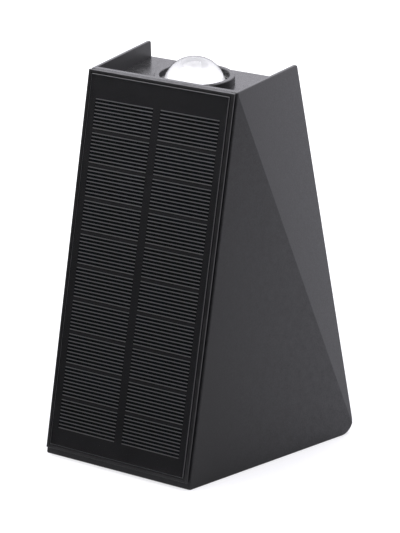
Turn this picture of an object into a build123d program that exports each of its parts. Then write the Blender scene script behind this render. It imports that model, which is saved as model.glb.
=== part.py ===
from build123d import *

import os
from math import atan2, cos, hypot, sin, sqrt, tan

# A solar wall light in millimetres. Seen from the front, +X is to the right, +Y runs into the wall, +Z is up.
# The origin lies on the wall face, midway between the entry holes of the two keyholes.
os.makedirs("parts", exist_ok=True)

# Housing, outer form
front_width = 69.2  # the sloping front at the bottom rim
front_top_width = 68.2  # the sloping front at the top rim
body_height = 156.5  # bottom rim to top rim
bottom_depth = 83.8  # wall to the front edge of the bottom rim
top_depth = 46.1  # wall to the front edge of the top rim
top_back_width = 71.4
bottom_back_width = 131.5
lower_tip_radius = 6.5  # rounded rear tip of each side wall below the lower deck
upper_tip_radius = 0.9  # rounded rear tip of each side wall above the upper deck
edge_radius = 1.0  # front corners and the fold across each side
rim_radius = 0.6  # outer edges of both rims and of the back, which run into each other
rim_inner_radius = 0.3  # inner edge of the top rim

# Housing, walls and decks
side_wall = 2.2
wing_edge = 1.6  # the side walls at the top rim
wing_draft = 0.2  # above the upper deck their inner faces lean in by this much down to it
front_wall = 2.8
deck_thickness = 2.5
top_recess = 6.8  # top rim down to the upper deck
bottom_recess = 14.0  # bottom rim up to the lower deck

# Wall fixing
keyhole_height = 112.0  # bottom rim up to the entry holes
keyhole_spacing = 40.0
keyhole_entry_radius = 4.5
keyhole_slot_width = 4.6
keyhole_slide = 8.0  # the light drops this far onto its two screws
pocket_clearance = 0.7  # round the head of a wall screw
pocket_depth = 4.0
pocket_wall = 1.5

# Back cover, its seal and its screws
cover_thickness = 3.0
cover_gap = 0.25
seal_thickness = 1.2
seal_gap = 0.3
seal_width = 2.4
ledge_width = 3.0
ledge_thickness = 2.0
boss_radius = 3.5
boss_length = 24.0
boss_edge_gap = 3.5  # between a boss and the side wall or deck beside it
boss_rib = 1.8
cover_screw_radius = 1.25
cover_screw_length = 14.0
cover_head_radius = 2.8
cover_head_height = 1.7
cover_head_sink = 0.3  # heads lie this far below the wall face
pilot_clearance = 0.05
hole_clearance = 0.35
head_clearance = 0.3
pilot_spare = 1.0  # depth of a pilot hole past the tip of its screw
cross_share = 1.3  # length of a screw's cross recess over its head radius
cross_width = 0.7
cross_depth = 0.8

# Solar front, in heights above the sloping face of the housing
adhesive_thickness = 0.2
adhesive_width = 6.0
adhesive_setback = 1.0
plinth_setback = 2.2  # the frame's foot stands back from its edge and leaves a shadow gap
plinth_height = 0.6
frame_thickness = 1.3
frame_undercut = 0.5
frame_edge_radius = 0.35
frame_side_gap = 0.25  # frame edge to the corner of the housing at the top rim
frame_rim = 1.35
lip_height = 3.1  # bottom rim up to the frame
laminate_gap = 0.45
top_rim_height = 1.8  # top rim down to the laminate
tray_depth = 0.7
board_thickness = 0.6
cell_thickness = 0.15
bond_line = 0.05
glaze_thickness = 0.35
glaze_bevel = 0.3
cell_columns = 2
cell_rows = 10
cell_width = 27.3
cell_height = 12.55
column_gap = 3.3
row_gap = 1.32
cells_top_gap = 9.6  # top edge of the laminate to the first row of cells
lead_hole_radius = 2.6

# Lamps: one in the upper deck and one in the lower deck, on one vertical axis
lens_setback = 21.8  # wall to the lens axis
dome_radius = 13.3
dome_drop = 3.0  # centre of the dome below the face of its deck
collar_radius = 16.5
collar_height = 2.9
collar_bore_radius = 14.3
collar_edge_radius = 0.4
lens_gap = 0.2
seat_depth = 2.4
seat_thickness = 1.6
seat_bore_radius = 12.4
flange_thickness = 2.3
plug_length = 2.0
gasket_thickness = 0.8
reflector_height = 9.0
reflector_wall = 1.2
reflector_flange_width = 2.4
led_size = 5.0
led_height = 1.5
led_gap = 0.3
led_board_length = 46.0
led_board_width = 24.0
led_board_thickness = 1.2
led_board_corner = 3.0
lamp_post_offset = 19.2
lamp_post_radius = 2.6
small_screw_radius = 0.95
small_screw_length = 6.0
small_head_radius = 1.9
small_head_height = 1.3

# Control board on posts behind the back cover
control_width = 54.0
control_height = 32.0
control_thickness = 1.6
control_post_height = 7.0
control_post_radius = 2.4
control_post_inset = 3.6
control_drop = 6.0  # keyhole pockets down to the board
chip_size = 5.0
chip_height = 1.6
inductor_size = 6.0
inductor_height = 4.0
inductor_corner = 1.5
capacitor_radius = 2.5
capacitor_height = 7.0

# Battery: one round cell in a holder
cell_radius = 9.2
cell_length = 65.0
cap_radius = 3.0
cap_height = 1.2
holder_wall = 1.6
holder_floor = 3.0
holder_gap = 0.3
holder_drop = 3.0  # control board down to the holder
holder_post_height = 4.0
holder_post_radius = 3.0
holder_screw_spacing = 40.0
holder_reach = 0.75  # share of the cell's diameter that the holder's walls reach
contact_thickness = 0.5
contact_gap = 0.15
contact_boss_radius = 3.0
contact_boss_height = 1.8
contact_width = 8.0
contact_tab = 2.0

# Push switch in the lower deck
switch_front_gap = 20.0  # front edge of the lower deck to the switch axis
switch_thread_radius = 6.0
switch_bezel_radius = 8.0
switch_bezel_height = 2.0
switch_bezel_edge_radius = 0.6
switch_length = 18.0
switch_washer_thickness = 0.8
switch_bore_radius = 4.2
switch_chamber_radius = 5.1
button_gap = 0.2
button_height = 3.7  # below the bezel when released
button_skirt = 4.5
button_lip_gap = 0.3
button_travel = 2.0
return_dome_spare = 2.0  # height of the dome with the button pressed
return_dome_wall = 0.5
return_dome_head_radius = 2.4
button_edge_radius = 0.8
nut_width = 16.0
nut_height = 3.0
terminal_width = 1.6
terminal_thickness = 0.6
terminal_length = 4.0
terminal_spacing = 6.0

# Wires: each pair stands left and right of the middle plane and ends near the middle of the control board
wire_radius = 0.6
wire_bend = 5.0
panel_wire_offset = 1.3
panel_wire_run = 14.0  # from the housing's front face to the bend
upper_wire_offset = 9.0
upper_wire_rise = 8.0
upper_wire_setback = 6.0  # lens axis to the solder points
lower_wire_offset = 6.8
lower_wire_drop = 8.0
lower_wire_setback = 10.8
battery_wire_offset = 18.0
battery_wire_drop = 4.0
switch_wire_drop = 12.0

overshoot = 4.0  # how far a cutting block runs past the face that it opens
tolerance = 0.01  # within which two levels count as one

# Levels and the planes of the outer form
bottom_z = -keyhole_height
rim_z = bottom_z + body_height
upper_deck_z = rim_z - top_recess
lower_deck_z = bottom_z + bottom_recess
cavity_top = upper_deck_z - deck_thickness
cavity_bottom = lower_deck_z + deck_thickness
front_tilt = atan2(bottom_depth - top_depth, body_height)
front_length = hypot(bottom_depth - top_depth, body_height)
front_top = Vector(front_top_width / 2, -top_depth, rim_z)
front_bottom = Vector(front_width / 2, -bottom_depth, bottom_z)
back_top = Vector(top_back_width / 2, 0, rim_z)
back_bottom = Vector(bottom_back_width / 2, 0, bottom_z)
lower_facet = Plane(front_top, z_dir=(front_bottom - front_top).cross(back_bottom - front_top))
upper_facet = Plane(front_top, z_dir=(back_bottom - front_top).cross(back_top - front_top))
front = Plane((0, -bottom_depth, bottom_z), x_dir=(1, 0, 0), z_dir=(0, -cos(front_tilt), sin(front_tilt)))
wing_front = Vector(front_top.X - wing_edge, front_top.Y, rim_z)
wing_back = Vector(back_top.X - wing_edge, 0, rim_z)
wing_foot = wing_front - Vector(wing_draft, 0, top_recess)
wing_inside = Plane(wing_front, z_dir=(wing_foot - wing_front).cross(wing_back - wing_front))
wing_middle = (front_top.X + back_top.X - wing_edge) / 2
wall_side = Plane((0, 0, 0), x_dir=(-1, 0, 0), z_dir=(0, 1, 0))
upper_deck = Plane((0, -lens_setback, upper_deck_z))
lower_deck = Plane((0, -lens_setback, lower_deck_z), x_dir=(1, 0, 0), z_dir=(0, 0, -1))


def save(piece, name):
    """Label a finished piece and write it."""
    piece.label = name
    export_step(piece, f"parts/{name}.step")


def front_y(z, inset=0.0):
    """Depth of the sloping front at a level, moved inwards by an inset."""
    return -bottom_depth + (z - bottom_z) * tan(front_tilt) + inset / cos(front_tilt)


def half_width(z):
    """Half the width of the back outline at a level."""
    return back_top.X + (rim_z - z) / body_height * (back_bottom.X - back_top.X)


def trimmed(front_inset, sides, low, high, back=0.0):
    """A block behind the sloping front between two levels, cut on each side by planes."""
    with BuildPart() as block:
        with BuildSketch(Plane.YZ):
            with BuildLine():
                Polyline(
                    (front_y(low, front_inset), low),
                    (front_y(high, front_inset), high),
                    (back, high),
                    (back, low),
                    close=True,
                )
            make_face()
        extrude(amount=bottom_back_width)
        for side in sides:
            split(bisect_by=side, keep=Keep.BOTTOM)
        mirror(about=Plane.YZ)
    return block.part


def form(front_inset, side_inset, low, high, back=0.0):
    """The outer form between two levels, with its front and its folded sides moved inwards."""
    sides = [facet.offset(-side_inset) for facet in (lower_facet, upper_facet)]
    return trimmed(front_inset, sides, low, high, back)


def slab(side_inset, deck_inset, near, far):
    """The hollow of the housing between two distances from the wall, drawn in from its sides and decks."""
    with BuildPart() as block:
        add(form(front_wall, side_inset, cavity_bottom + deck_inset, cavity_top - deck_inset))
        split(bisect_by=Plane.XZ.offset(near), keep=Keep.TOP)
        split(bisect_by=Plane.XZ.offset(far), keep=Keep.BOTTOM)
    return block.part


def band(outer, inner, near, far):
    """A frame that runs round the hollow, from one inset behind the inner wall faces to another."""
    with BuildPart() as block:
        add(slab(side_wall + outer, outer, near, far))
        add(slab(side_wall + inner, inner, near, far), mode=Mode.SUBTRACT)
    return block.part


def screw_set(seat, spots, radius, length, head_radius, head_height):
    """Identical screws whose heads stand on a seat plane, with a cross recess in each head."""
    with BuildPart() as group:
        with BuildSketch(seat):
            with Locations(*spots):
                Circle(head_radius)
        extrude(amount=head_height)
        with BuildSketch(seat):
            with Locations(*spots):
                Circle(radius)
        extrude(amount=-length)
        with BuildSketch(seat.offset(head_height)):
            with Locations(*spots):
                Rectangle(cross_share * head_radius, cross_width)
                Rectangle(cross_width, cross_share * head_radius)
        extrude(amount=-cross_depth, mode=Mode.SUBTRACT)
    return group.part


def wire(*points):
    """One insulated wire along straight runs and bends."""
    with BuildPart() as run:
        with BuildLine():
            route = FilletPolyline(*points, radius=wire_bend)
        with BuildSketch(Plane(route @ 0, z_dir=route % 0)):
            Circle(wire_radius)
        sweep(path=route)
    return run.part


def wire_pair(make_points):
    """Two wires, mirrored left and right."""
    with BuildPart() as pair:
        for side in (-1, 1):
            add(wire(*make_points(side)))
    return pair.part


# Places shared by several pieces
cover_seat = cover_thickness + seal_thickness
boss_inset = side_wall + boss_edge_gap + boss_radius
upper_boss_z = cavity_top - boss_edge_gap - boss_radius
lower_boss_z = cavity_bottom + boss_edge_gap + boss_radius
boss_spots = [
    (side * (half_width(z) - boss_inset), z) for z in (upper_boss_z, lower_boss_z) for side in (-1, 1)
]
cover_head_depth = cover_head_height + cover_head_sink
cover_screw_reach = cover_screw_length + cover_head_depth - cover_thickness
keyhole_spots = [(side * keyhole_spacing / 2, 0) for side in (-1, 1)]
pocket_radius = keyhole_entry_radius + pocket_clearance

control_face = cover_thickness + control_post_height
control_top = -pocket_radius - pocket_wall - control_drop
control_z = control_top - control_height / 2
control_spots = [
    (i * (control_width / 2 - control_post_inset), control_z + j * (control_height / 2 - control_post_inset))
    for i in (-1, 1)
    for j in (-1, 1)
]
control_front = control_face + control_thickness

holder_half_height = cell_radius + holder_gap + holder_wall
holder_z = control_top - control_height - holder_drop - holder_half_height
holder_back = cover_thickness + holder_post_height
cell_depth = holder_back + holder_floor + holder_gap + cell_radius
holder_spots = [(side * holder_screw_spacing / 2, holder_z) for side in (-1, 1)]
holder_screw_reach = small_screw_length - holder_floor + small_head_height
contact_reach = contact_thickness + contact_boss_height
holder_inside = cell_length + cap_height + 2 * contact_reach
holder_front = holder_back + holder_floor + 2 * cell_radius * holder_reach
cell_end = cell_length / 2

frame_low = lip_height
frame_half = front_top_width / 2 - frame_side_gap
frame_foot = adhesive_thickness + plinth_height
frame_top = frame_foot + frame_thickness
tray_half = frame_half - frame_rim
tray_low = frame_low + frame_rim
tray_floor = frame_top - tray_depth
laminate_low = tray_low + laminate_gap
laminate_high = front_length - top_rim_height
tray_high = laminate_high + laminate_gap
laminate_half = tray_half - laminate_gap
laminate_mid = (laminate_low + laminate_high) / 2
laminate_length = laminate_high - laminate_low
board_face = tray_floor + board_thickness
row_pitch = cell_height + row_gap
column_pitch = cell_width + column_gap
cells_mid = laminate_high - cells_top_gap - (cell_rows * row_pitch - row_gap) / 2
lead_z = control_z
lead_v = (lead_z - bottom_z) / cos(front_tilt)

seat_under = seat_depth + seat_thickness
board_depth = seat_under + reflector_height
lamp_posts = [(side * lamp_post_offset, 0) for side in (-1, 1)]
lens_radius = collar_bore_radius - lens_gap
flange_low = gasket_thickness - seat_depth
flange_high = flange_low + flange_thickness
small_pilot_radius = small_screw_radius + pilot_clearance
small_pilot_depth = small_screw_length + pilot_spare

switch_y = front_y(lower_deck_z, front_wall) + switch_front_gap
switch_under = Plane((0, switch_y, lower_deck_z), x_dir=(1, 0, 0), z_dir=(0, 0, -1))
switch_bezel_back = switch_washer_thickness
switch_bezel_face = switch_bezel_back + switch_bezel_height
button_low = switch_bezel_face + button_height
button_skirt_low = switch_bezel_back - button_lip_gap
button_skirt_high = button_skirt_low - button_skirt
chamber_top = button_skirt_high - button_travel - return_dome_spare
switch_back = switch_bezel_back - switch_length


# Housing: folded shell with two decks, a lens collar on each, and posts and bosses inside
with BuildPart() as rounded_form:
    add(form(0, 0, bottom_z - overshoot, rim_z + overshoot, overshoot))
    front_edges = rounded_form.edges().filter_by(lambda e: e.center().Y < 0)
    steep_edges = front_edges.filter_by(lambda e: abs(e.start_point().Z - e.end_point().Z) > tolerance)
    fillet(steep_edges, radius=edge_radius)

with BuildPart() as bosses:
    with BuildSketch(Plane.XZ.offset(cover_thickness)):
        with Locations(*boss_spots):
            Circle(boss_radius)
    extrude(amount=boss_length)
    with BuildSketch(Plane.XZ.offset(cover_seat)):
        for x, z in boss_spots:
            side = 1 if x > 0 else -1
            with Locations((x + side * boss_inset / 2, z)):
                Rectangle(boss_inset, boss_rib)
    extrude(amount=boss_length - seal_thickness)
    add(form(front_wall / 2, side_wall / 2, cavity_bottom, cavity_top), mode=Mode.INTERSECT)

with BuildPart() as housing:
    add(rounded_form.part)
    with BuildSketch(Plane.YZ) as silhouette:
        with BuildLine():
            Polyline(
                (-bottom_depth - overshoot, bottom_z),
                (-bottom_depth - overshoot, rim_z),
                (0, rim_z),
                (0, bottom_z),
                close=True,
            )
        make_face()
        rear = silhouette.vertices().group_by(Axis.X)[-1].sort_by(Axis.Y)
        fillet(rear[0], radius=lower_tip_radius)
        rear = silhouette.vertices().group_by(Axis.X)[-1].sort_by(Axis.Y)
        fillet(rear[-1], radius=upper_tip_radius)
    extrude(amount=bottom_back_width, both=True, mode=Mode.INTERSECT)
    foot = housing.edges().group_by(Axis.Z)[0]
    fillet(foot.filter_by(lambda e: e.center().Y < -lower_tip_radius - tolerance), radius=rim_radius)
    add(trimmed(front_wall, [wing_inside], upper_deck_z, rim_z + overshoot, overshoot), mode=Mode.SUBTRACT)
    add(form(front_wall, side_wall, bottom_z - overshoot, lower_deck_z, overshoot), mode=Mode.SUBTRACT)
    add(form(front_wall, side_wall, cavity_bottom, cavity_top, overshoot), mode=Mode.SUBTRACT)
    add(band(-side_wall / 2, ledge_width, cover_seat, cover_seat + ledge_thickness))
    add(bosses.part)
    with BuildSketch(Plane.XZ.offset(cover_thickness)):
        with Locations(*boss_spots):
            Circle(cover_screw_radius + pilot_clearance)
    extrude(amount=cover_screw_reach + pilot_spare, mode=Mode.SUBTRACT)
    for deck in (upper_deck, lower_deck):
        with BuildSketch(deck.offset(-seat_under)):
            Circle(collar_radius)
        extrude(amount=seat_under + collar_height)
        with BuildSketch(deck.offset(-board_depth)):
            with Locations(*lamp_posts):
                Circle(lamp_post_radius)
        extrude(amount=board_depth - deck_thickness / 2)
        with BuildSketch(deck.offset(-board_depth)):
            with Locations(*lamp_posts):
                Circle(small_pilot_radius)
        extrude(amount=small_pilot_depth, mode=Mode.SUBTRACT)
        with BuildSketch(deck.offset(collar_height)):
            Circle(collar_bore_radius)
        extrude(amount=-collar_height - seat_depth, mode=Mode.SUBTRACT)
        with BuildSketch(deck):
            Circle(seat_bore_radius)
        extrude(amount=-seat_under, mode=Mode.SUBTRACT)
    with BuildSketch(switch_under):
        Circle(switch_thread_radius + hole_clearance)
    extrude(amount=-deck_thickness, mode=Mode.SUBTRACT)
    with BuildSketch(front):
        with Locations((0, lead_v)):
            Circle(lead_hole_radius)
    extrude(amount=-front_wall - overshoot, mode=Mode.SUBTRACT)
    collar_tops = housing.edges().filter_by(GeomType.CIRCLE)
    collar_tops = collar_tops.filter_by(
        lambda e: any(
            abs(e.center().Z - z) < tolerance
            for z in (upper_deck_z + collar_height, lower_deck_z - collar_height)
        )
    )
    fillet(collar_tops, radius=collar_edge_radius)
    rim = housing.edges().group_by(Axis.Z)[-1].filter_by(lambda e: e.center().Y > front_y(rim_z, front_wall / 2))
    rim = rim.filter_by(lambda e: e.center().Y < -upper_tip_radius - tolerance)
    fillet(rim.filter_by(lambda e: abs(e.center().X) < wing_middle), radius=rim_inner_radius)
save(housing.part, "housing")

# Back cover with keyhole pockets and the posts that carry the electronics
with BuildPart() as back_cover:
    add(slab(side_wall + cover_gap, cover_gap, 0, cover_thickness))
    inner_face = Plane.XZ.offset(cover_thickness)
    with BuildSketch(inner_face):
        for x, z in keyhole_spots:
            with Locations((x, z + keyhole_slide / 2)):
                SlotCenterToCenter(keyhole_slide, 2 * (pocket_radius + pocket_wall), rotation=90)
    extrude(amount=pocket_depth + pocket_wall)
    with BuildSketch(inner_face):
        for x, z in keyhole_spots:
            with Locations((x, z + keyhole_slide / 2)):
                SlotCenterToCenter(keyhole_slide, 2 * pocket_radius, rotation=90)
    extrude(amount=pocket_depth, mode=Mode.SUBTRACT)
    with BuildSketch(Plane.XZ):
        with Locations(*keyhole_spots):
            Circle(keyhole_entry_radius)
        for x, z in keyhole_spots:
            with Locations((x, z + keyhole_slide / 2)):
                SlotCenterToCenter(keyhole_slide, keyhole_slot_width, rotation=90)
    extrude(amount=cover_thickness, mode=Mode.SUBTRACT)
    with BuildSketch(inner_face):
        with Locations(*control_spots):
            Circle(control_post_radius)
    extrude(amount=control_post_height)
    with BuildSketch(Plane.XZ.offset(control_face)):
        with Locations(*control_spots):
            Circle(small_pilot_radius)
    extrude(amount=-small_pilot_depth, mode=Mode.SUBTRACT)
    with BuildSketch(inner_face):
        with Locations(*holder_spots):
            Circle(holder_post_radius)
    extrude(amount=holder_post_height)
    with BuildSketch(Plane.XZ.offset(holder_back)):
        with Locations(*holder_spots):
            Circle(small_pilot_radius)
    extrude(amount=-holder_screw_reach - pilot_spare, mode=Mode.SUBTRACT)
    with BuildSketch(Plane.XZ):
        with Locations(*boss_spots):
            Circle(cover_head_radius + head_clearance)
    extrude(amount=cover_head_depth, mode=Mode.SUBTRACT)
    with BuildSketch(Plane.XZ):
        with Locations(*boss_spots):
            Circle(cover_screw_radius + hole_clearance)
    extrude(amount=cover_thickness, mode=Mode.SUBTRACT)
save(back_cover.part, "back_cover")

save(band(seal_gap, seal_width, cover_thickness, cover_seat), "back_seal")

cover_screws = screw_set(
    wall_side.offset(-cover_head_depth),
    boss_spots,
    cover_screw_radius,
    cover_screw_length,
    cover_head_radius,
    cover_head_height,
)
save(cover_screws, "cover_screws")

# Solar front: adhesive frame, tray, cell board, cells and clear glaze
with BuildPart() as solar_adhesive:
    adhesive_half = frame_half - plinth_setback - adhesive_setback
    adhesive_low = frame_low + plinth_setback + adhesive_setback
    adhesive_high = front_length - adhesive_setback - adhesive_width / 2
    with BuildSketch(front):
        with Locations((0, (adhesive_low + adhesive_high) / 2)):
            Rectangle(2 * adhesive_half, adhesive_high - adhesive_low)
            Rectangle(
                2 * (adhesive_half - adhesive_width),
                adhesive_high - adhesive_low - 2 * adhesive_width,
                mode=Mode.SUBTRACT,
            )
    extrude(amount=adhesive_thickness)
save(solar_adhesive.part, "solar_adhesive")

with BuildPart() as solar_frame:
    frame_high = front_length + overshoot
    with BuildSketch(front.offset(frame_foot)):
        with Locations((0, (frame_low + frame_high) / 2)):
            Rectangle(2 * frame_half, frame_high - frame_low)
    extrude(amount=frame_thickness)
    under_face = solar_frame.faces().sort_by(Axis(front.origin, front.z_dir))[0]
    chamfer(under_face.edges(), length=frame_undercut)
    outer_face = solar_frame.faces().sort_by(Axis(front.origin, front.z_dir))[-1]
    fillet(outer_face.edges(), radius=frame_edge_radius)
    with BuildSketch(front.offset(adhesive_thickness)):
        with Locations((0, (frame_low + plinth_setback + frame_high) / 2)):
            Rectangle(2 * (frame_half - plinth_setback), frame_high - frame_low - plinth_setback)
    extrude(amount=plinth_height)
    with BuildSketch(front.offset(tray_floor)):
        with Locations((0, (tray_low + tray_high) / 2)):
            Rectangle(2 * tray_half, tray_high - tray_low)
    extrude(amount=tray_depth, mode=Mode.SUBTRACT)
    with BuildSketch(front):
        with Locations((0, lead_v)):
            Circle(lead_hole_radius)
    extrude(amount=tray_floor, mode=Mode.SUBTRACT)
    split(bisect_by=Plane.XY.offset(rim_z), keep=Keep.BOTTOM)
save(solar_frame.part, "solar_frame")


def cell_grid(sketch_plane):
    """The outlines of all solar cells."""
    with BuildSketch(sketch_plane) as grid:
        with Locations((0, cells_mid)):
            with GridLocations(column_pitch, row_pitch, cell_columns, cell_rows):
                Rectangle(cell_width, cell_height)
    return grid.sketch


with BuildPart() as solar_board:
    with BuildSketch(front.offset(tray_floor)):
        with Locations((0, laminate_mid)):
            Rectangle(2 * laminate_half, laminate_length)
    extrude(amount=board_thickness)
    extrude(cell_grid(front.offset(board_face)), amount=-cell_thickness, mode=Mode.SUBTRACT)
save(solar_board.part, "solar_board")

with BuildPart() as solar_cells:
    extrude(cell_grid(front.offset(board_face)), amount=-cell_thickness)
save(solar_cells.part, "solar_cells")

with BuildPart() as solar_glaze:
    with BuildSketch(front.offset(board_face + bond_line)):
        with Locations((0, laminate_mid)):
            Rectangle(2 * laminate_half, laminate_length)
    extrude(amount=glaze_thickness)
    glaze_top = solar_glaze.faces().sort_by(Axis(front.origin, front.z_dir))[-1]
    chamfer(glaze_top.edges(), length=glaze_bevel)
save(solar_glaze.part, "solar_glaze")


# Lamps
def turned(deck, outline):
    """A round piece about the lens axis, from a closed outline of radius and height over the deck's face."""
    section = Plane(deck.origin, x_dir=deck.x_dir, z_dir=deck.x_dir.cross(deck.z_dir))
    with BuildPart() as piece:
        with BuildSketch(section):
            with BuildLine():
                outline()
            make_face()
        revolve(axis=Axis(deck.origin, deck.z_dir))
    return piece.part


def lens_outline():
    dome_foot = sqrt(dome_radius**2 - (flange_high + dome_drop) ** 2)
    dome_rise = dome_radius - dome_drop
    half_turn = sqrt(0.5) * dome_radius
    plug_radius = seat_bore_radius - lens_gap
    Polyline(
        (0, dome_rise),
        (0, flange_low - plug_length),
        (plug_radius, flange_low - plug_length),
        (plug_radius, flange_low),
        (lens_radius, flange_low),
        (lens_radius, flange_high),
        (dome_foot, flange_high),
    )
    ThreePointArc((dome_foot, flange_high), (half_turn, half_turn - dome_drop), (0, dome_rise))


def gasket_outline():
    Polyline(
        (seat_bore_radius + lens_gap, -seat_depth),
        (lens_radius, -seat_depth),
        (lens_radius, flange_low),
        (seat_bore_radius + lens_gap, flange_low),
        close=True,
    )


def reflector_outline():
    mouth_radius = seat_bore_radius - lens_gap
    throat_radius = led_size * sqrt(0.5) + led_gap
    Polyline(
        (mouth_radius, -seat_under),
        (throat_radius, -board_depth),
        (throat_radius + reflector_wall, -board_depth),
        (mouth_radius + reflector_wall, -seat_under - reflector_wall),
        (mouth_radius + reflector_flange_width, -seat_under - reflector_wall),
        (mouth_radius + reflector_flange_width, -seat_under),
        close=True,
    )


for place, deck in (("upper", upper_deck), ("lower", lower_deck)):
    save(turned(deck, lens_outline), f"{place}_lens")
    save(turned(deck, gasket_outline), f"{place}_lens_gasket")
    save(turned(deck, reflector_outline), f"{place}_reflector")
    with BuildPart() as led_board:
        with BuildSketch(deck.offset(-board_depth)):
            RectangleRounded(led_board_length, led_board_width, led_board_corner)
            with Locations(*lamp_posts):
                Circle(small_screw_radius + hole_clearance, mode=Mode.SUBTRACT)
        extrude(amount=-led_board_thickness)
    save(led_board.part, f"{place}_led_board")
    with BuildPart() as led:
        with BuildSketch(deck.offset(-board_depth)):
            Rectangle(led_size, led_size)
        extrude(amount=led_height)
    save(led.part, f"{place}_led")
    inner_side = Plane(
        deck.offset(-board_depth - led_board_thickness).origin,
        x_dir=deck.x_dir,
        z_dir=-deck.z_dir,
    )
    led_screws = screw_set(
        inner_side,
        lamp_posts,
        small_screw_radius,
        small_screw_length,
        small_head_radius,
        small_head_height,
    )
    save(led_screws, f"{place}_led_screws")

# Control board and what is soldered to it
with BuildPart() as control_board:
    with BuildSketch(Plane.XZ.offset(control_face)):
        with Locations((0, control_z)):
            Rectangle(control_width, control_height)
        with Locations(*control_spots):
            Circle(small_screw_radius + hole_clearance, mode=Mode.SUBTRACT)
    extrude(amount=control_thickness)
save(control_board.part, "control_board")

board_front = Plane.XZ.offset(control_front)
with BuildPart() as control_chip:
    with BuildSketch(board_front):
        with Locations((control_width / 4, control_z)):
            Rectangle(chip_size, chip_size)
    extrude(amount=chip_height)
save(control_chip.part, "control_chip")

with BuildPart() as inductor:
    with BuildSketch(board_front):
        with Locations((-control_width / 4, control_z)):
            RectangleRounded(inductor_size, inductor_size, inductor_corner)
    extrude(amount=inductor_height)
save(inductor.part, "inductor")

with BuildPart() as capacitor:
    with BuildSketch(board_front):
        with Locations((-control_width / 4, control_z + inductor_size + capacitor_radius)):
            Circle(capacitor_radius)
    extrude(amount=capacitor_height)
save(capacitor.part, "capacitor")

control_screws = screw_set(
    board_front,
    control_spots,
    small_screw_radius,
    small_screw_length,
    small_head_radius,
    small_head_height,
)
save(control_screws, "control_screws")

# Battery, its holder and contacts
with BuildPart() as battery:
    with BuildSketch(Plane.YZ.offset(-cell_end)):
        with Locations((-cell_depth, holder_z)):
            Circle(cell_radius)
    extrude(amount=cell_length)
    with BuildSketch(Plane.YZ.offset(cell_end)):
        with Locations((-cell_depth, holder_z)):
            Circle(cap_radius)
    extrude(amount=cap_height)
save(battery.part, "battery")

holder_mid_x = cap_height / 2
holder_half_length = holder_inside / 2 + holder_wall
with BuildPart() as battery_holder:
    with BuildSketch(Plane.XZ.offset(holder_back)):
        with Locations((holder_mid_x, holder_z)):
            Rectangle(2 * holder_half_length, 2 * holder_half_height)
    extrude(amount=holder_front - holder_back)
    with BuildSketch(Plane.XZ.offset(holder_back + holder_floor)):
        with Locations((holder_mid_x, holder_z)):
            Rectangle(holder_inside, 2 * (cell_radius + holder_gap))
    extrude(amount=holder_front - holder_back, mode=Mode.SUBTRACT)
    with BuildSketch(Plane.XZ.offset(holder_back + holder_floor)):
        with Locations(*holder_spots):
            Circle(small_head_radius + head_clearance)
    extrude(amount=-small_head_height, mode=Mode.SUBTRACT)
    with BuildSketch(Plane.XZ.offset(holder_back)):
        with Locations(*holder_spots):
            Circle(small_screw_radius + hole_clearance)
    extrude(amount=holder_floor, mode=Mode.SUBTRACT)
    with BuildSketch(Plane.XY.offset(holder_z)):
        with Locations((holder_mid_x, -cell_depth)):
            Rectangle(holder_inside, contact_width + 2 * contact_gap)
            Rectangle(
                holder_inside - 2 * (contact_thickness + contact_gap),
                contact_width + 2 * contact_gap,
                mode=Mode.SUBTRACT,
            )
    extrude(amount=2 * holder_half_height, mode=Mode.SUBTRACT)
save(battery_holder.part, "battery_holder")

holder_screws = screw_set(
    Plane.XZ.offset(holder_back + holder_floor - small_head_height),
    holder_spots,
    small_screw_radius,
    small_screw_length,
    small_head_radius,
    small_head_height,
)
save(holder_screws, "holder_screws")

contact_top = holder_z + holder_half_height + contact_tab
with BuildPart() as battery_contacts:
    for side in (-1, 1):
        inner_wall = Plane.YZ.offset(holder_mid_x + side * holder_inside / 2)
        with BuildSketch(inner_wall):
            with Locations((-cell_depth, (holder_z - cell_radius + contact_top) / 2)):
                Rectangle(contact_width, contact_top - holder_z + cell_radius)
        extrude(amount=-side * contact_thickness)
        with BuildSketch(inner_wall.offset(-side * contact_thickness)):
            with Locations((-cell_depth, holder_z)):
                Circle(contact_boss_radius)
        extrude(amount=-side * contact_boss_height)
save(battery_contacts.part, "battery_contacts")

# Push switch: body with bezel, washer, nut and the button that travels
with BuildPart() as switch_body:
    with BuildSketch(switch_under.offset(switch_bezel_back)):
        Circle(switch_bezel_radius)
    extrude(amount=switch_bezel_height)
    bezel_face = switch_body.faces().sort_by(Axis.Z)[0]
    fillet(bezel_face.edges(), radius=switch_bezel_edge_radius)
    with BuildSketch(switch_under.offset(switch_back)):
        Circle(switch_thread_radius)
    extrude(amount=switch_length)
    with BuildSketch(switch_under.offset(switch_bezel_face)):
        Circle(switch_bore_radius)
    extrude(amount=chamber_top - switch_bezel_face, mode=Mode.SUBTRACT)
    with BuildSketch(switch_under.offset(chamber_top)):
        Circle(switch_chamber_radius)
    extrude(amount=switch_bezel_back - chamber_top, mode=Mode.SUBTRACT)
    with BuildSketch(switch_under.offset(switch_back)):
        with GridLocations(terminal_spacing, terminal_spacing, 2, 1):
            Rectangle(terminal_thickness, terminal_width)
    extrude(amount=-terminal_length)
save(switch_body.part, "switch_body")

with BuildPart() as switch_washer:
    with BuildSketch(switch_under):
        Circle(switch_bezel_radius - lens_gap)
        Circle(switch_thread_radius + hole_clearance, mode=Mode.SUBTRACT)
    extrude(amount=switch_washer_thickness)
save(switch_washer.part, "switch_washer")

with BuildPart() as switch_nut:
    with BuildSketch(switch_under.offset(-deck_thickness)):
        RegularPolygon(nut_width / 2, 6, major_radius=False)
        Circle(switch_thread_radius + pilot_clearance, mode=Mode.SUBTRACT)
    extrude(amount=-nut_height)
save(switch_nut.part, "switch_nut")

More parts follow.
